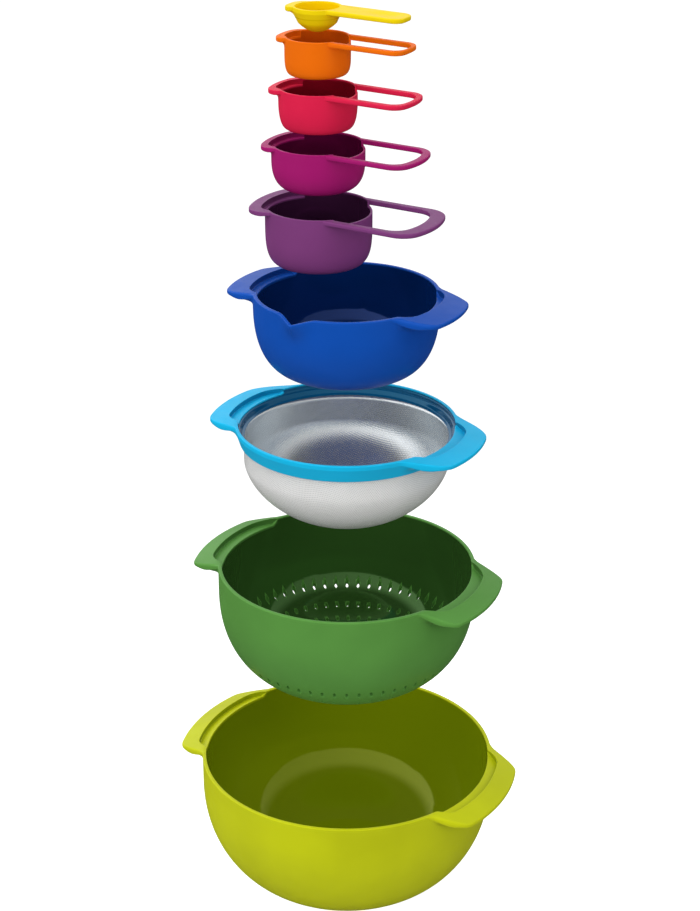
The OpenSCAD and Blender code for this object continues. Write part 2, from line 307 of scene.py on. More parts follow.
def wing_under(key, w, rt):
    """Corner points of a wing's underside from the wall to the lower edge.

    Beyond the middle it runs parallel to the upper face; the flanks are a little thicker."""
    r, tip, _, droop, root, edge_t = WINGS[key]
    on = smooth(w / 0.12)
    span = tip - r
    swell = 2.4 * np.sin(math.pi * np.clip(w, 0, 1)) ** 1.3
    out = []
    for part, limit in ((0.5, 0.33), (0.8, 0.58), (1.0, 1.0)):
        x = np.minimum(part * (rt - r), limit * span)
        z = -droop / span * x - edge_t - swell
        if part < 0.6:
            z = z + (-root - z) * smooth(w / 0.9)
        out.append(np.stack([r + x, -3 + (z + 3) * on], 1))
    return out, on


def wing_top(key, w, ease):
    """Height of a wing's upper face at each radius; it eases into the rim over +-ease."""
    r, tip, _, droop = WINGS[key][:4]
    flare = smooth(w / 0.15)

    def top_z(rad):
        x = rad - r
        bend = np.where(x < -ease, 0, np.where(x < ease, (x + ease) ** 2 / (4 * ease), x))
        return -droop / (tip - r) * bend * flare

    return top_z


def bowl_sections(key, recess, theta):
    """Upper sections of a winged bowl.

    recess is (radius at each column, height of its floor at each radius)."""
    n = len(theta)
    shape = SHAPES[key]
    r, tip, span, _, root, edge_t = WINGS[key]
    w = wing_blend(fold(theta), span)
    rt = r + (tip - r) * w
    wall_in = inner_shape(shape, WALL)
    ri = wall_in[0]
    r_top = np.maximum(recess[0], ri)
    floor_at = recess[1]
    top_z = wing_top(key, w, 2)
    under, on = wing_under(key, w, rt)
    zj = -(4.5 + (edge_t + 1.5) * on + (root - edge_t - 4.0) * smooth(w / 0.9))
    corners = [
        cols(wall_radius(shape, OUT_START), -OUT_START, n),
        np.stack([wall_radius(shape, -zj), zj], 1),
        *under,
        np.stack([rt, top_z(rt)], 1),
        np.stack([rt - 6, top_z(rt - 6)], 1),
    ]
    flank = on * (1 - smooth((w - 0.72) / 0.28))
    fil = 0.5 + 5.5 * w
    bottom, brow = 1.3 + 1.2 * flank, 1.2 + 2.6 * flank
    outer = rounded(corners, [fil, fil, fil, bottom, brow], [3, 2, 2, 4, 1, 0], 5)[:-1]
    tops = deck(outer[-1][:, 0], r_top + 1.0, 10, top_z)
    ledge = r_top - ri
    shallow = smooth(ledge / 3.5)
    zf_out = -1.3 + (floor_at(r_top) + 1.3) * shallow
    zf_in = -1.4 + (floor_at(np.full(n, ri)) + 1.4) * shallow
    inner = [
        np.stack([r_top + 1.0, top_z(r_top + 1.0)], 1),
        np.stack([r_top, top_z(r_top)], 1),
        np.stack([r_top, zf_out], 1),
        np.stack([np.full(n, ri), zf_in - 0.06], 1),
        cols(ri, -IN_START, n),
    ]
    inner = rounded(inner, [0.7, 0.7, 0.8], [0, 2, 4, 3], 4)
    inner[-1, :, 0] = wall_radius(wall_in, IN_START)
    return np.concatenate([outer, tops, inner[1:]]), np.where(ledge > 0.2, zf_in, 0.0)


def full_sections(upper, shape, wall, n, start_out, start_in, foot=None):
    """Outer base and wall, the given upper part, then the inner wall and floor.

    foot is the inner and outer radius and height of a ring moulded under the base."""
    rr, zz = quarter(shape, start_out, 34)
    out = [cols(b, z, n) for b, z in zip(rr[::-1][:-1], zz[::-1][:-1])]
    if foot is None:
        base = [cols(shape[3] * f, -shape[2], n) for f in (0.25, 0.5, 0.75, 0.9)]
    else:
        f_in, f_out, f_h = foot
        path = [(f_in * 0.3, f_h), (f_in * 0.65, f_h), (f_in - 1.2, f_h)]
        path += [(f_in - 0.4, f_h - 0.3), (f_in, 0.5), (f_in + 0.5, 0.0), (f_out, 0.0)]
        base = [cols(a, b - shape[2], n) for a, b in path]
    within = inner_shape(shape, wall)
    ri, zi = quarter(within, start_in, 34)
    inn = [cols(b, z, n) for b, z in zip(ri[1:], zi[1:])]
    inn += [cols(within[3] * f, -within[2], n) for f in (0.75, 0.5, 0.25)]
    return np.concatenate([np.array(base + out), upper, np.array(inn)])


def next_wing_recess(next_key, floor_z, theta):
    """Where the next smaller piece's wings rest: outline, and a floor parallel to their slope."""
    nr, ntip, nspan, ndroop = WINGS[next_key][:4]
    wide = (nspan[0], nspan[1] + LEDGE_SPREAD)
    out = nr + PLAN_GAP + (ntip - nr) * wing_blend(fold(theta), wide)
    return out, lambda rad: floor_z + ndroop / (ntip - nr) * (ntip - rad)


def winged_bowl(name, key, recess, top, n=480, lip=None, foot=None):
    theta = turn(n)
    shape = SHAPES[key]
    upper, edge_z = bowl_sections(key, recess(theta), theta)
    rows = full_sections(upper, shape, WALL, n, OUT_START, IN_START, foot)
    mask = painted_shade_mask(rows, shape[0] - WALL, edge_z)
    if lip is not None:
        rows = lip(theta, rows)
    return lathe(name, theta, rows, top=top, edge=edge_rows(rows, 0.8), inside=mask)


# ---------------------------------------------------------------- plan outlines of cups
def end_outline(reach, half_w, corner, rho, n_tip=18, n_corner=22):
    """One end of a handle outline from its middle to its side: points and normals."""
    f = math.asin((half_w - corner) / (rho - corner))
    cx = reach - rho + (rho - corner) * math.cos(f)
    cy = (rho - corner) * math.sin(f)
    a = np.linspace(0, f, n_tip, endpoint=False)
    b = np.linspace(f, math.pi / 2, n_corner)
    pts = np.concatenate(
        [
            np.stack([reach - rho + rho * np.cos(a), rho * np.sin(a)], 1),
            np.stack([cx + corner * np.cos(b), cy + corner * np.sin(b)], 1),
        ]
    )
    ang = np.r_[a, b]
    return pts, np.stack([np.cos(ang), np.sin(ang)], 1)


def front_end(plan, grow=0.0):
    _, x1, w, c = plan
    return end_outline(x1 + grow, w + grow, c + grow, x1 + grow + CUP_AXIS_X)


def back_end(plan, grow=0.0):
    x0, _, w, c = plan
    pts, nrm = end_outline(-x0 + grow, w + grow, c + grow, -x0 + grow - CUP_AXIS_X)
    return pts * [-1, 1], nrm * [-1, 1]


def from_front(theta):
    """Angle to either side of the handle's direction."""
    return np.abs((theta + math.pi) % (2 * math.pi) - math.pi)


def outline_radius(pts, theta, floor):
    """Distance from the cup's axis to an outline along each angle, no less than floor."""
    ang = np.arctan2(pts[:, 1], pts[:, 0])
    rad = np.hypot(pts[:, 0], pts[:, 1])
    order = np.argsort(ang)
    got = np.interp(from_front(theta), ang[order], rad[order], left=0, right=rad[order][-1])
    return np.maximum(got, floor)


def half_outline_back(plan, grow=0.0):
    pts, _ = back_end(plan, grow)
    side = np.linspace(pts[-1, 0], 0, 30)[1:]
    return np.concatenate([pts, np.stack([side, np.full(29, plan[2] + grow)], 1)])


def web_drop(x):
    """How far the flat web of a cup has fallen below the rim at x."""
    return np.where(x > 0, 0.02364, 0.03) * np.maximum(np.abs(x) - 15, 0)


def cup_body(name, key, next_key, top, n=400):
    """A cup with its back lip; next_key is the cup that nests in it, for which it is notched."""
    shape = SHAPES[key]
    r = shape[0]
    plan = PLANS[key]
    theta = turn(n)
    at = 0.0
    if next_key:
        notch_w = PLANS[next_key][2] + PLAN_GAP
        at = math.asin(notch_w / (r - CUP_WALL / 2))
        extra = [at - 0.012, at - 0.006, at, at + 0.006, at + 0.012]
        theta = np.unique(np.r_[theta, extra, [2 * math.pi - e for e in extra]])
        n = len(theta)
    t_abs = from_front(theta)
    wall_in = inner_shape(shape, CUP_WALL)
    ri = wall_in[0]
    back = t_abs > math.pi / 2
    out_r = np.where(back, outline_radius(half_outline_back(plan), theta, r), r)
    w = (out_r - r) / max(out_r.max() - r, 1e-6)
    ledge, cap = np.zeros(n), np.zeros(n)
    if next_key:
        nxt = outline_radius(half_outline_back(PLANS[next_key], PLAN_GAP), theta, 0)
        ledge = np.where(back, np.maximum(nxt - ri, 0), 0)
        drop = HANDLE_T + UNDER_GAP + web_drop(r * np.cos(theta))
        cap = -drop * smooth((at + 0.006 - t_abs) / 0.012)
    on = smooth(w / 0.2)

    def top_z(rad):
        return cap - web_drop(rad * np.cos(theta)) * on * smooth((rad - r + 1) / 4)

    zt = top_z(out_r)
    te = 2.5 + (HANDLE_T - 2.5) * smooth(w / 0.6)
    zj = cap - (3.5 + w * 2.0)
    inner_start = CUP_START - 3
    zf = -(HANDLE_T + UNDER_GAP) - web_drop(r * np.cos(theta))
    zf = np.where(cap < -0.01, np.minimum(cap - 1.0, zf), zf)
    corners = [
        cols(wall_radius(shape, CUP_START), -CUP_START, n),
        np.stack([wall_radius(shape, -zj), zj], 1),
        np.stack([out_r, zt - te], 1),
        np.stack([out_r, zt], 1),
        np.stack([out_r - 1.6, top_z(out_r - 1.6)], 1),
    ]
    fil = 0.4 + 4.0 * w
    soft = 0.55 + 0.5 * smooth(w)
    outer = rounded(corners, [fil, soft, soft], [4, 5, 1, 0], 4)[:-1]
    r_top = ri + ledge
    tops = deck(outer[-1][:, 0], r_top + 0.6, 7, top_z)
    inner = rounded(
        [
            np.stack([r_top + 0.6, top_z(r_top + 0.6)], 1),
            np.stack([r_top, top_z(r_top)], 1),
            np.stack([r_top, zf], 1),
            np.stack([np.full(n, ri), zf - 0.1], 1),
            cols(ri, -inner_start, n),
        ],
        [0.5, 0.5, 0.6],
        [0, 2, 3, 2],
        3,
    )
    inner[-1, :, 0] = wall_radius(wall_in, inner_start)
    upper = np.concatenate([outer, tops, inner[1:]])
    rows = full_sections(upper, shape, CUP_WALL, n, CUP_START, inner_start)
    edge_z = np.where(ledge > 0.2, zf, cap)
    mask = painted_shade_mask(rows, ri, edge_z)
    worn = edge_rows(rows, 0.5)
    return lathe(name, theta, rows, centre=(CUP_AXIS_X, 0), top=top, edge=worn, inside=mask)


def ring_strip(name, rings, top):
    """Skin closed cross-sections (stations, around, 3) and cap both ends."""
    m, k = rings.shape[:2]
    verts = rings.reshape(-1, 3) + [CUP_AXIS_X, 0, top]
    faces = grid_faces(m, k)
    faces.append(tuple(range(k)))
    faces.append(tuple(range((m - 1) * k, m * k))[::-1])
    return make_object(name, verts, faces, np.zeros(len(verts)))


def cup_loop(name, key, next_key, top):
    """The loop handle: a flat strip between this cup's outline and the next cup's."""
    plan, inner_plan = PLANS[key], PLANS[next_key]
    out, _ = front_end(plan)
    inn, _ = front_end(inner_plan, PLAN_GAP)
    root = SHAPES[key][0] - CUP_WALL / 2
    w_in = inner_plan[2] + PLAN_GAP

    def arm(end, width):
        x = math.sqrt(root**2 - width**2)
        s = np.linspace(0, 1, 26)[1:]
        return np.stack([end[0] + (x - end[0]) * s, np.full(25, width)], 1)

    o = np.concatenate([out, arm(out[-1], plan[2])])
    i = np.concatenate([inn, arm(inn[-1], w_in)])
    o = np.concatenate([o[::-1] * [1, -1], o[1:]])
    i = np.concatenate([i[::-1] * [1, -1], i[1:]])
    across = np.linalg.norm(o - i, axis=1)
    n = len(o)
    # section in a local frame: from the inner edge (0) to the outer edge (across)
    t_o, t_i = -web_drop(o[:, 0]), -web_drop(i[:, 0])
    middle = np.stack([across * 0.5, (t_o + t_i) / 2], 1)
    corner = [
        middle,
        np.stack([across, t_o], 1),
        np.stack([across, t_o - HANDLE_T], 1),
        cols(0, t_i - HANDLE_T, n),
        cols(0, t_i, n),
        middle,
    ]
    sec = rounded(corner, [(1.3, 1.1), (1.3, 1.6), 1.0, 0.8], [1, 1, 2, 1, 1], 4)[:-1]
    d = (o - i) / across[:, None]
    rings = np.empty((n, sec.shape[0], 3))
    for k in range(sec.shape[0]):
        rings[:, k, :2] = i + d * sec[k][:, :1]
        rings[:, k, 2] = sec[k][:, 1]
    return ring_strip(name, rings, top)


def spoon_handle(name, top):
    """Solid flat handle with a shallow thumb dimple: rings about a point in its middle."""
    plan = PLANS["spoon"]
    middle, dimple, dimple_depth = 50.0, 62, 1.3
    root = SHAPES["spoon"][0] - CUP_WALL / 2
    pts, nrm = front_end(plan)
    x_root = math.sqrt(root**2 - plan[2] ** 2)
    s = np.linspace(0, 1, 44)[1:]
    side = np.stack([pts[-1, 0] + (x_root - pts[-1, 0]) * s, np.full(43, plan[2])], 1)
    half = np.concatenate([pts, side])
    half_n = np.concatenate([nrm, np.tile([0.0, 1.0], (43, 1))])
    a0 = math.asin(plan[2] / root)
    arc = np.linspace(a0, 0, 12)[1:]
    curve = np.stack([root * np.cos(arc), root * np.sin(arc)], 1)
    half = np.concatenate([half, curve])
    half_n = np.concatenate([half_n, np.tile([0.0, 0.0], (11, 1))])
    full = np.concatenate([half, half[-2:0:-1] * [1, -1]])
    full_n = np.concatenate([half_n, half_n[-2:0:-1] * [1, -1]])
    n = len(full)
    centre = np.array([middle, 0.0])
    soft = 1.2
    rings = []
    inset = full - full_n * soft
    for t in np.linspace(0.04, 1, 22):
        rings.append((centre + (inset - centre) * t, 0.0))
    for k in range(1, 6):
        b = math.pi / 2 * k / 5
        rings.append((full - full_n * soft * (1 - math.sin(b)), -soft * (1 - math.cos(b))))
    rings.append((full, -HANDLE_T + soft))
    for k in range(1, 6):
        b = math.pi / 2 * k / 5
        low = -HANDLE_T + soft * (1 - math.sin(b))
        rings.append((full - full_n * soft * (1 - math.cos(b)), low))
    for t in np.linspace(1, 0.04, 10)[1:]:
        rings.append((centre + (inset - centre) * t, -HANDLE_T))
    verts = []
    for xy, z in rings:
        zz = z - web_drop(xy[:, 0])
        if z == 0.0:
            d = ((xy[:, 0] - dimple) / 12.5) ** 2 + (xy[:, 1] / 8.0) ** 2
            zz = zz - dimple_depth * np.exp(-(d**1.6))
        verts.append(np.column_stack([xy, zz]))
    m = len(verts)
    verts = np.concatenate(verts)
    dz = web_drop(np.array([middle]))[0]
    sunk = dimple_depth * math.exp(-(0.96**3.2))
    verts = np.concatenate([verts, [[middle, 0, -dz - sunk], [middle, 0, -dz - HANDLE_T]]])
    faces = grid_faces(m, n)
    for j in range(n):
        j2 = (j + 1) % n
        faces.append((j2, j, m * n))
        faces.append(((m - 1) * n + j, (m - 1) * n + j2, m * n + 1))
    return make_object(name, verts + [CUP_AXIS_X, 0, top], faces, np.zeros(len(verts)))


def join(parts):
    for o in parts:
        fix_normals(o)
    for o in bpy.context.selected_objects:
        o.select_set(False)
    for o in parts:
        o.select_set(True)
    bpy.context.view_layer.objects.active = parts[0]
    bpy.ops.object.join()
    parts[0].select_set(False)
    return parts[0]


# ---------------------------------------------------------------- sieve
def sieve_rim_piece(top, n=480):
    """Band with wings: its inner wall steps in twice and ends in a lip over the mesh's edge."""
    theta = turn(n)
    r, tip, span = WINGS["sieve"][:3]
    w = wing_blend(fold(theta), span)
    rt = r + (tip - r) * w
    out_ledge, floor_at = next_wing_recess("small", RECESS_FLOOR["sieve"], theta)
    r_top = np.maximum(out_ledge, COLLAR_WALL)
    ledge = r_top - COLLAR_WALL
    top_z = wing_top("sieve", w, 1)
    under, on = wing_under("sieve", w, rt)
    side = [np.stack([p[:, 0], p[:, 1] - (1 - on)], 1) for p in under]
    corners = [
        cols(BAND_BORE, -13.0, n),
        cols(BAND_BORE, -16.0, n),
        cols(93.9, -16.0, n),
        cols(96.1, -9.0 - on * 1.6, n),
        *side,
        np.stack([rt, top_z(rt)], 1),
        np.stack([rt - 2.2, top_z(rt - 2.2)], 1),
    ]
    flank = on * (1 - smooth((w - 0.72) / 0.28))
    fil = 1.5 + 4.0 * w
    bottom, brow = 1.3 + 0.8 * flank, 1.0 + 1.6 * flank
    cuts = [0.5, 1.0, fil, fil, fil, bottom, brow]
    outer = rounded(corners, cuts, [1, 1, 4, 2, 2, 3, 1, 0], 4)[:-1]
    tops = deck(outer[-1][:, 0], r_top + 0.6, 10, top_z)
    shallow = smooth(ledge / 3.5)
    zf_out = -2.4 + (floor_at(r_top) + 2.4) * shallow
    zf_in = -3.0 + (floor_at(np.full(n, COLLAR_STEP)) + 3.0) * shallow
    inner = rounded(
        [
            np.stack([r_top + 0.6, top_z(r_top + 0.6)], 1),
            np.stack([r_top, top_z(r_top)], 1),
            np.stack([r_top, zf_out], 1),
            cols(COLLAR_STEP, zf_in, n),
            cols(94.5, -5.6, n),
            cols(93.5, -5.95, n),
            cols(92.0, -10.6, n),
            cols(COLLAR_LIP, -11.0, n),
            cols(COLLAR_LIP, -11.5, n),
            cols(BAND_BORE, -11.5, n),
            cols(BAND_BORE, -13.0, n),
        ],
        [0.5, 0.6, 0.6, 0.35, 0.35, 0.5, 0.2, 0.2, 0.1],
        [0, 2, 3, 2, 1, 3, 1, 0, 1, 1],
        3,
    )
    rows = np.concatenate([outer, tops, inner[1:-1]])
    mask = painted_shade_mask(rows, COLLAR_WALL, np.where(ledge > 0.2, zf_in, 0.0))
    worn = edge_rows(rows, 0.8)
    return lathe("sieve_rim_moulding", theta, rows, top=top, closed=True, edge=worn, inside=mask)


def band(name, corners, cuts, straights, arc, top, n):
    """A closed ring of the given section, (radius, height) corner by corner."""
    rows = rounded([cols(r, z, n) for r, z in corners], cuts, straights, arc)[:-1]
    return lathe(name, turn(n), rows, top=top, closed=True)


def sieve_hoop_piece(top):
    corners = [
        (HOOP_IN, -13.5),
        (HOOP_IN, HOOP_BOTTOM),
        (HOOP_OUT, HOOP_BOTTOM),
        (HOOP_OUT, HOOP_TOP),
        (HOOP_IN, HOOP_TOP),
        (HOOP_IN, -13.5),
    ]
    return band("sieve_hoop_band", corners, [0.3] * 4, [1, 0, 2, 0, 1], 3, top, 300)


def sieve_mesh_piece(top, n=400):
    """Woven wire bowl: a thin skin whose UVs are the cloth's own flat coordinates in metres."""
    r, straight, depth, base, square, t = CLOTH
    ro, zo = quarter(CLOTH, CLOTH_TOP, 46)
    ri, zi = quarter((r - t, straight, depth - t, base, square, 0), CLOTH_TOP, 46)
    rows = [cols(base * f, -depth, n) for f in (0.2, 0.4, 0.6, 0.8)]
    rows += [cols(a, b, n) for a, b in zip(ro[::-1], zo[::-1])]
    rows += [cols(a, b, n) for a, b in zip(ri, zi)]
    rows += [cols(base * f, -depth + t, n) for f in (0.8, 0.6, 0.4, 0.2)]
    rows = np.array(rows)
    mask = np.zeros(rows.shape[:2])
    mask[len(rows) // 2 :] = 1
    obj = lathe("sieve_mesh_weave", turn(n), rows, top=top, inside=mask)
    # flat cloth coordinates: distance along the bowl from its centre
    prof_r = np.r_[0, ro[::-1]]
    prof_z = np.r_[zo[-1], zo[::-1]]
    along = np.r_[0, np.cumsum(np.hypot(np.diff(prof_r), np.diff(prof_z)))]
    mesh = obj.data
    uv = mesh.uv_layers.new(name="cloth")
    co = np.empty(len(mesh.vertices) * 3)
    mesh.vertices.foreach_get("co", co)
    co = co.reshape(-1, 3) / MM
    z = co[:, 2] - top
    rad = np.hypot(co[:, 0], co[:, 1])
    order = np.argsort(prof_z)
    flat = z <= -depth + t + 0.01
    dist = np.where(flat, rad, np.interp(z, prof_z[order], along[order]))
    scale = dist / np.maximum(rad, 1e-6)
    cloth = co[:, :2] * scale[:, None] * MM
    loops = np.empty(len(mesh.loops), np.int64)
    mesh.loops.foreach_get("vertex_index", loops)
    uv.data.foreach_set("uv", cloth[loops].astype(np.float32).ravel())
    return obj


def foot_piece(name, r_out, r_in, bottom):
    mid = (r_out + r_in) / 2
    corners = [
        (mid, FOOT_TOP),
        (r_in, FOOT_TOP),
        (r_in, 0.0),
        (mid, 0.0),
        (r_out, 0.0),
        (r_out, FOOT_TOP),
        (mid, FOOT_TOP),
    ]
    return band(name, corners, [0.2, 0.8, 0.8, 0.8, 0.2], [1] * 6, 4, bottom, 240)


# ---------------------------------------------------------------- colander holes
def drill(obj, top):
    """Cut the drain holes: rings of upright slots, longer up the wall, rounder on the floor."""
    sides = 14
    a = turn(sides)
    verts, faces = [], []
    for radius, count, half_len, half_w in DRAIN_RINGS:
        px = half_len * np.sign(np.cos(a)) * np.abs(np.cos(a)) ** 1.05
        py = half_w * np.sin(a) * (1 - 0.1 * np.cos(a))
        for i in range(count):
            t = 2 * math.pi * (i + 0.5) / count
            c, s = math.cos(t), math.sin(t)
            x = (radius + px) * c - py * s
            y = (radius + px) * s + py * c
            k = len(verts)
            for z in (top - 118.0, top - 35.0):
                verts += [(u, v, z) for u, v in zip(x, y)]
            for j in range(sides):
                j2 = (j + 1) % sides
                faces.append((k + j, k + j2, k + sides + j2, k + sides + j))
            faces.append(tuple(range(k + sides - 1, k - 1, -1)))
            faces.append(tuple(range(k + sides, k + 2 * sides)))
    cutter = make_object("hole_cutter", np.array(verts), faces)
    mod = obj.modifiers.new("holes", "BOOLEAN")
    mod.operation = "DIFFERENCE"
    mod.solver = "EXACT"
    mod.object = cutter
    bpy.context.view_layer.objects.active = obj
    bpy.ops.object.modifier_apply(modifier=mod.name)
    bpy.data.objects.remove(cutter)
    obj.data.set_sharp_from_angle(angle=math.radians(38))


# ---------------------------------------------------------------- materials
def nodes_of(name):
    mat = bpy.data.materials.new(name)
    mat.use_nodes = True
    tree = mat.node_tree
    return mat, tree, tree.nodes["Principled BSDF"]


def feed(tree, value, socket):
    """Set a socket to a fixed value, or link another node's output to it."""
    if isinstance(value, (int, float, tuple)):
        socket.default_value = value
    else:
        tree.links.new(value, socket)


def noise(tree, coord, scale, detail=3.0, rough=0.5):
    node = tree.nodes.new("ShaderNodeTexNoise")
    node.inputs["Scale"].default_value = scale
    node.inputs["Detail"].default_value = detail
    node.inputs["Roughness"].default_value = rough
    feed(tree, coord, node.inputs["Vector"])
    return node.outputs["Fac"]


def ramp(tree, value, low, high, out_low, out_high):
    node = tree.nodes.new("ShaderNodeMapRange")
    node.inputs["From Min"].default_value = low
    node.inputs["From Max"].default_value = high
    node.inputs["To Min"].default_value = out_low
    node.inputs["To Max"].default_value = out_high
    feed(tree, value, node.inputs["Value"])
    return node.outputs["Result"]


def maths(tree, operation, a, b=None, clamp=False):
    node = tree.nodes.new("ShaderNodeMath")
    node.operation = operation
    node.use_clamp = clamp
    feed(tree, a, node.inputs[0])
    if b is not None:
        feed(tree, b, node.inputs[1])
    return node.outputs[0]


def blend(tree, factor, a, b):
    """Mix two colours, each a fixed tone or another node's output."""
    node = tree.nodes.new("ShaderNodeMix")
    node.data_type = "RGBA"
    for label, value in (("Factor", factor), ("A", a), ("B", b)):
        feed(tree, value, node.inputs[label])
    return node.outputs["Result"]


def attribute(tree, label):
    node = tree.nodes.new("ShaderNodeAttribute")
    node.attribute_name = label
    return node.outputs["Fac"]


def place(tree):
    return tree.nodes.new("ShaderNodeTexCoord").outputs["Object"]


def roughen(tree, shader, height, strength, distance):
    """Bump a shader's surface."""
    bump = tree.nodes.new("ShaderNodeBump")
    bump.inputs["Distance"].default_value = distance
    feed(tree, strength, bump.inputs["Strength"])
    feed(tree, height, bump.inputs["Height"])
    feed(tree, bump.outputs["Normal"], shader.inputs["Normal"])


def srgb(*levels):
    linear = [((c / 255 + 0.055) / 1.055) ** 2.4 if c > 10 else c / 255 / 12.92 for c in levels]
    return (*linear, 1.0)


def toned(colour, gain, lift=0.0):
    return tuple(min(c * gain + lift, 1) for c in colour[:3]) + (1,)


def moulded(name, colour, inner, rough):
    """Moulded plastic: fine grain, faint flow marks and slightly paler worn edges.

    Its deep inner faces get a darker tone of the same colour, painted shade led by the inside
    attribute."""
    mat, tree, shader = nodes_of(name)
    coord = place(tree)
    grain = noise(tree, coord, 1400.0, 4.0, 0.6)
    flow = noise(tree, coord, 14.0, 3.0, 0.5)
    mottled = noise(tree, coord, 90.0, 4.0, 0.55)
    marks = ramp(tree, flow, 0.35, 0.65, 0, 1)
    body = blend(tree, marks, toned(colour, 0.94), toned(colour, 1.05))
    patchy = ramp(tree, mottled, 0.35, 0.7, 0.1, 0.6)
    wear = maths(tree, "MULTIPLY", attribute(tree, "edge"), patchy)
    worn = blend(tree, wear, body, toned(colour, 1.07, 0.006))
    # painted shade: the inner walls and recess walls are darkened by these factors
    dark = tuple(c * k for c, k in zip(colour, inner)) + (1,)
    tone = blend(tree, attribute(tree, "inside"), worn, dark)
    feed(tree, tone, shader.inputs["Base Color"])
    satin = ramp(tree, mottled, 0.3, 0.7, rough * 0.92, rough * 1.1)
    feed(tree, satin, shader.inputs["Roughness"])
    roughen(tree, shader, grain, 0.2 * rough, 0.00012)
    shader.inputs["IOR"].default_value = 1.49
    return mat, shader


def plastic(name, colour, inner, rough=0.42, specular=0.24):
    """The satin outer finish and the polished, tinted inner one of a moulded piece.

    inner is how dark the painted shade makes the inner faces against the outer ones, per channel or for
    all."""
    if isinstance(inner, float):
        inner = (inner, inner, inner)
    top = max(colour[:3])

    def finish(label, roughness, level, tint):
        mat, shader = moulded(label, colour, inner, roughness)
        shader.inputs["Specular IOR Level"].default_value = level
        tinted = tuple(tint * c / top + (1 - tint) for c in colour[:3]) + (1,)
        shader.inputs["Specular Tint"].default_value = tinted
        return mat

    outer = finish(name, rough, specular, 0.4)
    return outer, finish(name + "_lining", LINING_ROUGH, LINING_SPECULAR, 0.8)


def rubber(name, colour):
    mat, tree, shader = nodes_of(name)
    coord = place(tree)
    grain = noise(tree, coord, 700.0, 5.0, 0.65)
    dust = noise(tree, coord, 60.0, 3.0, 0.5)
    tone = blend(tree, ramp(tree, dust, 0.4, 0.7, 0, 0.6), colour, toned(colour, 1.3, 0.02))
    feed(tree, tone, shader.inputs["Base Color"])
    feed(tree, ramp(tree, grain, 0.3, 0.7, 0.72, 0.86), shader.inputs["Roughness"])
    roughen(tree, shader, grain, 0.3, 0.0002)
    return mat


def steel(name):
    mat, tree, shader = nodes_of(name)
    stretch = tree.nodes.new("ShaderNodeMapping")
    stretch.inputs["Scale"].default_value = (30, 30, 900)
    feed(tree, place(tree), stretch.inputs["Vector"])
    brushed = noise(tree, stretch.outputs["Vector"], 3.0, 4.0, 0.6)
    feed(tree, ramp(tree, brushed, 0.3, 0.7, 0.26, 0.42), shader.inputs["Roughness"])
    tone = blend(tree, brushed, (0.55, 0.56, 0.58, 1), (0.70, 0.71, 0.72, 1))
    feed(tree, tone, shader.inputs["Base Color"])
    shader.inputs["Metallic"].default_value = 1.0
    return mat


def woven_wire(name, pitch=0.0019, wire=0.68, gap=0.6):
    """Plain weave of round wires on the cloth's flat coordinates, half clear between them.

    pitch is in metres, wire is a part of the pitch, gap is how solid the openings look."""
    mat, tree, shader = nodes_of(name)
    uv = tree.nodes.new("ShaderNodeUVMap")
    uv.uv_map = "cloth"
    split = tree.nodes.new("ShaderNodeSeparateXYZ")
    feed(tree, uv.outputs["UV"], split.inputs["Vector"])
    heights, masks = [], []
    for axis, other in (("X", "Y"), ("Y", "X")):
        s = maths(tree, "DIVIDE", split.outputs[axis], pitch)
        near = maths(tree, "ABSOLUTE", maths(tree, "SUBTRACT", maths(tree, "FRACT", s), 0.5))
        across = maths(tree, "DIVIDE", near, wire / 2)
        mask = maths(tree, "LESS_THAN", across, 1.0)
        squared = maths(tree, "MULTIPLY", across, across)
        dome = maths(tree, "SQRT", maths(tree, "SUBTRACT", 1.0, squared, True))
        # over and under: neighbours cross in opposite phase
        o = maths(tree, "MULTIPLY", split.outputs[other], math.pi / pitch)
        phase = maths(tree, "MULTIPLY", maths(tree, "FLOOR", s), math.pi)
        shift = 0.0 if axis == "X" else math.pi
        wave = maths(tree, "SINE", maths(tree, "ADD", maths(tree, "ADD", o, phase), shift))
        lift = maths(tree, "ADD", maths(tree, "MULTIPLY", wave, 0.5), 0.5)
        heights.append(maths(tree, "MULTIPLY", mask, maths(tree, "ADD", dome, lift)))
        masks.append(mask)
    height = maths(tree, "MAXIMUM", *heights)
    feed(tree, ramp(tree, maths(tree, "MAXIMUM", *masks), 0, 1, gap, 1.0), shader.inputs["Alpha"])
    coord = place(tree)
    pale = blend(tree, noise(tree, coord, 35.0, 3.0), (0.84, 0.84, 0.83, 1), (0.92, 0.92, 0.91, 1))
    deep = attribute(tree, "inside")
    feed(tree, blend(tree, deep, pale, (0.82, 0.86, 0.88, 1)), shader.inputs["Base Color"])
    feed(tree, ramp(tree, deep, 0, 1, 0.0, 0.85), shader.inputs["Metallic"])
    roughen(tree, shader, height, ramp(tree, deep, 0, 1, 0.5, 0.1), 0.0005)
    fine = ramp(tree, noise(tree, coord, 240.0, 3.0), 0.3, 0.7, 0.18, 0.26)
    feed(tree, fine, shader.inputs["Roughness"])
    return mat


# ---------------------------------------------------------------- build the pieces
tops = {
    "large": rim_z("mixing_bowl_large"),
    "colander": rim_z("colander"),
    "sieve": rim_z("sieve_rim"),
    "small": rim_z("mixing_bowl_small"),
    "cup_250": rim_z("measuring_cup_250"),
    "cup_125": rim_z("measuring_cup_125"),
    "cup_85": rim_z("measuring_cup_85"),
    "cup_60": rim_z("measuring_cup_60"),
    "spoon": rim_z("measuring_spoon_15"),
}


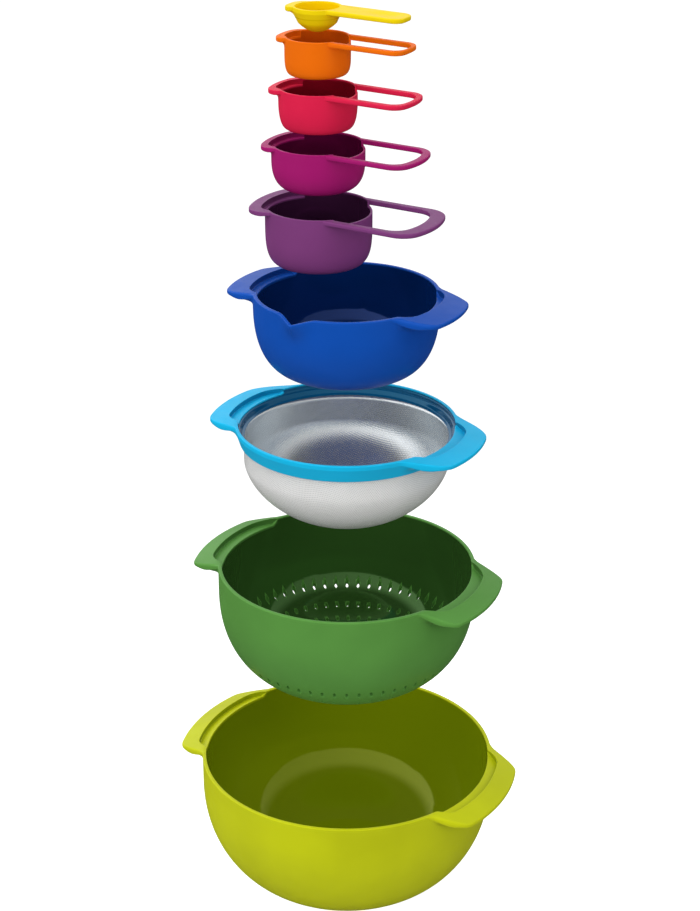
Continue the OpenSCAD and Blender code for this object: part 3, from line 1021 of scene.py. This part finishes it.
def small_ledge(theta):
    """Radius of the small bowl's ledge: the 250 ml cup's outline seen from the bowls' axis."""
    pts = []
    for p, _ in (front_end(PLANS["cup_250"], PLAN_GAP), back_end(PLANS["cup_250"], PLAN_GAP)):
        pts.append(p + [CUP_AXIS_X, 0])
    t = from_front(theta)
    out = np.zeros(len(theta))
    for p in pts:
        ang = np.arctan2(p[:, 1], p[:, 0])
        rad = np.hypot(p[:, 0], p[:, 1])
        order = np.argsort(ang)
        got = np.interp(t, ang[order], rad[order], left=0, right=0)
        out = np.maximum(out, np.where((t >= ang.min() - 0.01) & (t <= ang.max()), got, 0))
    return out


def pouring_lip(theta, rows):
    """Draw the rim of the small bowl out and down to a V at the pouring lip."""
    off = np.degrees(theta - math.radians(LIP_AT))
    off = (off + 180) % 360 - 180
    x = np.clip(1 - np.abs(off) / LIP_HALF, 0, 1)
    v = x * x * (1.6 - 0.6 * x)
    depth = -rows[:, :, 1]
    inside = np.arange(rows.shape[0]) >= rows.shape[0] // 2
    fade = 1 - smooth(depth / np.where(inside, 21.0, 24.0)[:, None])
    rows = rows.copy()
    rows[:, :, 0] += LIP_REACH * v * fade
    rows[:, :, 1] -= LIP_DROP * v * np.clip(1 - depth / 16, 0, 1)
    return rows


pieces = {}
pieces["large"] = winged_bowl(
    "mixing_bowl_large_moulding",
    "large",
    lambda theta: next_wing_recess("colander", RECESS_FLOOR["large"], theta),
    tops["large"],
)
pieces["colander"] = winged_bowl(
    "colander_moulding",
    "colander",
    lambda theta: next_wing_recess("sieve", RECESS_FLOOR["colander"], theta),
    tops["colander"],
    foot=(33.0, 36.5, 1.5),
)
pieces["small"] = winged_bowl(
    "mixing_bowl_small_moulding",
    "small",
    lambda theta: (small_ledge(theta), lambda rad: np.full(len(rad), RECESS_FLOOR["small"])),
    tops["small"],
    lip=pouring_lip,
)
pieces["sieve_rim"] = sieve_rim_piece(tops["sieve"])
pieces["sieve_hoop"] = sieve_hoop_piece(tops["sieve"])
pieces["sieve_mesh"] = sieve_mesh_piece(tops["sieve"])
pieces["large_foot"] = foot_piece("mixing_bowl_large_foot_ring", 47.4, 39.4, 0.0)
small_foot_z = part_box("mixing_bowl_small_foot")[0].z / MM
pieces["small_foot"] = foot_piece("mixing_bowl_small_foot_ring", 41.1, 34.6, small_foot_z)
for piece in pieces.values():
    fix_normals(piece)
chain = [("cup_250", "cup_125"), ("cup_125", "cup_85"), ("cup_85", "cup_60"), ("cup_60", "spoon")]
for key, next_key in chain:
    body = cup_body(f"measuring_{key}_moulding", key, next_key, tops[key])
    loop = cup_loop(f"{key}_loop", key, next_key, tops[key])
    pieces[key] = join([body, loop])
spoon = cup_body("measuring_spoon_15_moulding", "spoon", None, tops["spoon"])
pieces["spoon"] = join([spoon, spoon_handle("spoon_handle", tops["spoon"])])

looks = {
    # the third value of each plastic is the painted shade on its inner walls, a factor on its colour
    "large": plastic("lime_plastic_look", srgb(192, 199, 12), (0.36, 0.44, 0.3)),
    "colander": plastic("green_plastic_look", srgb(90, 149, 66), 0.28),
    "sieve_rim": plastic("sky_plastic_look", srgb(20, 188, 236), (0.22, 0.15, 0.22)),
    "small": plastic("blue_plastic_look", srgb(15, 82, 184), 0.25),
    "cup_250": plastic("purple_plastic_look", srgb(130, 64, 126), 0.2),
    "cup_125": plastic("magenta_plastic_look", srgb(172, 26, 113), 0.25),
    "cup_85": plastic("red_plastic_look", srgb(232, 36, 79), (0.3, 0.2, 0.2), specular=0.17),
    "cup_60": plastic("orange_plastic_look", srgb(255, 118, 14), 0.62, specular=0.1),
    "spoon": plastic("yellow_plastic_look", srgb(255, 222, 8), 0.95, specular=0.18),
    "large_foot": rubber("lime_rubber_look", srgb(105, 115, 20)),
    "small_foot": rubber("blue_rubber_look", srgb(12, 36, 90)),
    "sieve_hoop": steel("steel_hoop_look"),
    "sieve_mesh": woven_wire("steel_mesh_look"),
}
PLACES = {
    "large": ("mixing_bowl_large", "mixing_bowl_large", "lime_plastic"),
    "large_foot": ("mixing_bowl_large", "mixing_bowl_large_foot", "lime_rubber"),
    "colander": ("colander", "colander", "green_plastic"),
    "sieve_rim": ("sieve", "sieve_rim", "sky_plastic"),
    "sieve_hoop": ("sieve", "sieve_hoop", "steel_hoop"),
    "sieve_mesh": ("sieve", "sieve_mesh", "steel_mesh"),
    "small": ("mixing_bowl_small", "mixing_bowl_small", "blue_plastic"),
    "small_foot": ("mixing_bowl_small", "mixing_bowl_small_foot", "blue_rubber"),
    "cup_250": ("measuring_cup_250", "measuring_cup_250", "purple_plastic"),
    "cup_125": ("measuring_cup_125", "measuring_cup_125", "magenta_plastic"),
    "cup_85": ("measuring_cup_85", "measuring_cup_85", "red_plastic"),
    "cup_60": ("measuring_cup_60", "measuring_cup_60", "orange_plastic"),
    "spoon": ("measuring_spoon_15", "measuring_spoon_15", "yellow_plastic"),
}
for key, (body, node, slot) in PLACES.items():
    piece = pieces[key]
    look = looks[key] if isinstance(looks[key], tuple) else (looks[key],)
    for mat in look:
        piece.data.materials.append(mat)
    if len(look) == 2:
        line_inside(piece)
    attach(piece, body)
    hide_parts(node)

drill(pieces["colander"], tops["colander"])

# ---------------------------------------------------------------- stage, lights, camera
scene = bpy.context.scene
scene.view_settings.view_transform = "Standard"
world = bpy.data.worlds.new("studio")
scene.world = world
world.use_nodes = True
wt = world.node_tree
for node in list(wt.nodes):
    wt.nodes.remove(node)


def glow_of(strength):
    node = wt.nodes.new("ShaderNodeBackground")
    node.inputs["Color"].default_value = (1, 1, 1, 1)
    feed(wt, strength, node.inputs["Strength"])
    return node.outputs[0]


def choose(tree, factor, a, b):
    node = tree.nodes.new("ShaderNodeMixShader")
    for k, value in enumerate((factor, a, b)):
        feed(tree, value, node.inputs[k])
    return node.outputs[0]


def facing(direction):
    node = wt.nodes.new("ShaderNodeVectorMath")
    node.operation = "DOT_PRODUCT"
    feed(wt, sky, node.inputs[0])
    node.inputs[1].default_value = direction.normalized()
    return node.outputs["Value"]


VIEW = math.radians(27)
RIGHT = Vector((math.cos(VIEW), math.sin(VIEW), 0))
AWAY = Vector((-math.sin(VIEW), math.cos(VIEW), 0))
path = wt.nodes.new("ShaderNodeLightPath")
sky = wt.nodes.new("ShaderNodeTexCoord").outputs["Generated"]
split = wt.nodes.new("ShaderNodeSeparateXYZ")
feed(wt, sky, split.inputs[0])
up = split.outputs["Z"]
# what polished faces mirror: bright walls, brighter to the left, under a dark ceiling
walls = ramp(wt, facing(AWAY * 0.3 - RIGHT), -1.0, 1.0, 0.55, 1.3)
below = ramp(wt, up, -0.03, 0.06, 0.04, 1.0)
above = ramp(wt, up, 0.53, 0.66, 1.0, 0.08)
mirrored = maths(wt, "MULTIPLY", walls, maths(wt, "MULTIPLY", below, above))
# soft light on matt faces: strong from overhead, weaker from the sides
overhead = ramp(wt, up, 0.1, 0.9, 0.2, 1.25)
leftward = ramp(wt, facing(-RIGHT), -1.0, 1.0, 0.7, 1.45)
ambient = maths(wt, "MULTIPLY", overhead, leftward)
unseen = choose(wt, path.outputs["Is Glossy Ray"], glow_of(ambient), glow_of(mirrored))
end = wt.nodes.new("ShaderNodeOutputWorld")
feed(wt, choose(wt, path.outputs["Is Camera Ray"], unseen, glow_of(1.0)), end.inputs[0])

FLOOR_HALF = 12  # metres
floor_mesh = bpy.data.meshes.new("floor")
floor_corners = [(x * FLOOR_HALF, y * FLOOR_HALF, 0) for x, y in ((-1, -1), (1, -1), (1, 1), (-1, 1))]
floor_mesh.from_pydata(floor_corners, [], [(0, 1, 2, 3)])
floor = bpy.data.objects.new("floor", floor_mesh)
scene.collection.objects.link(floor)


def floor_look():
    """White to the camera; to the pieces pale close by, dim further off, dark in mirrors."""
    mat, tree, matt = nodes_of("floor_white")
    away = tree.nodes.new("ShaderNodeVectorMath")
    away.operation = "LENGTH"
    feed(tree, place(tree), away.inputs[0])
    pale = ramp(tree, away.outputs["Value"], 0.2, 1.0, 0.55, 0.08)
    feed(tree, pale, matt.inputs["Base Color"])
    matt.inputs["Roughness"].default_value = 0.9
    matt.inputs["Specular IOR Level"].default_value = 0.0

    def glowing(strength):
        node = tree.nodes.new("ShaderNodeEmission")
        node.inputs["Strength"].default_value = strength
        return node.outputs[0]

    lit = tree.nodes.new("ShaderNodeAddShader")
    feed(tree, matt.outputs[0], lit.inputs[0])
    feed(tree, glowing(1.0), lit.inputs[1])
    rays = tree.nodes.new("ShaderNodeLightPath").outputs
    unseen = choose(tree, rays["Is Glossy Ray"], matt.outputs[0], glowing(0.04))
    surface = choose(tree, rays["Is Camera Ray"], unseen, lit.outputs[0])
    feed(tree, surface, tree.nodes["Material Output"].inputs[0])
    return mat


floor_mesh.materials.append(floor_look())


def area(name, right, away, height, size, power, target=(0, 0, 0.45)):
    """A soft light placed by the camera's right and away directions, in metres and watts."""
    data = bpy.data.lights.new(name, "AREA")
    data.shape = "RECTANGLE"
    data.size, data.size_y = size
    data.energy = power
    obj = bpy.data.objects.new(name, data)
    obj.location = RIGHT * right + AWAY * away + Vector((0, 0, height))
    obj.rotation_euler = (Vector(target) - obj.location).to_track_quat("-Z", "Y").to_euler()
    obj.visible_glossy = False
    scene.collection.objects.link(obj)


area("key", -2.6, -1.9, 1.0, (1.8, 2.2), 42)
area("back_left", -1.8, 2.2, 1.6, (1.8, 1.8), 20)
area("fill", 2.2, -1.9, 0.6, (1.6, 1.6), 9, target=(0, 0, 0.3))
area("upper_fill", 0.9, -1.3, 0.95, (0.6, 0.6), 5.5, target=(0, 0, 0.8))

cam_data = bpy.data.cameras.new("camera")
cam_data.sensor_width = 36.0
cam_data.lens = 81.40505
cam_data.clip_end = 50
camera = bpy.data.objects.new("camera", cam_data)
CAMERA_BACK, CAMERA_RIGHT, CAMERA_ABOVE_RIM, CAMERA_PITCH = 1.6616, 0.0029, 1.034, 23.8
camera.location = AWAY * -CAMERA_BACK + RIGHT * CAMERA_RIGHT
camera.location.z = tops["large"] * MM + CAMERA_ABOVE_RIM
camera.rotation_euler = (math.radians(90 - CAMERA_PITCH), 0, VIEW)
scene.collection.objects.link(camera)
scene.camera = camera
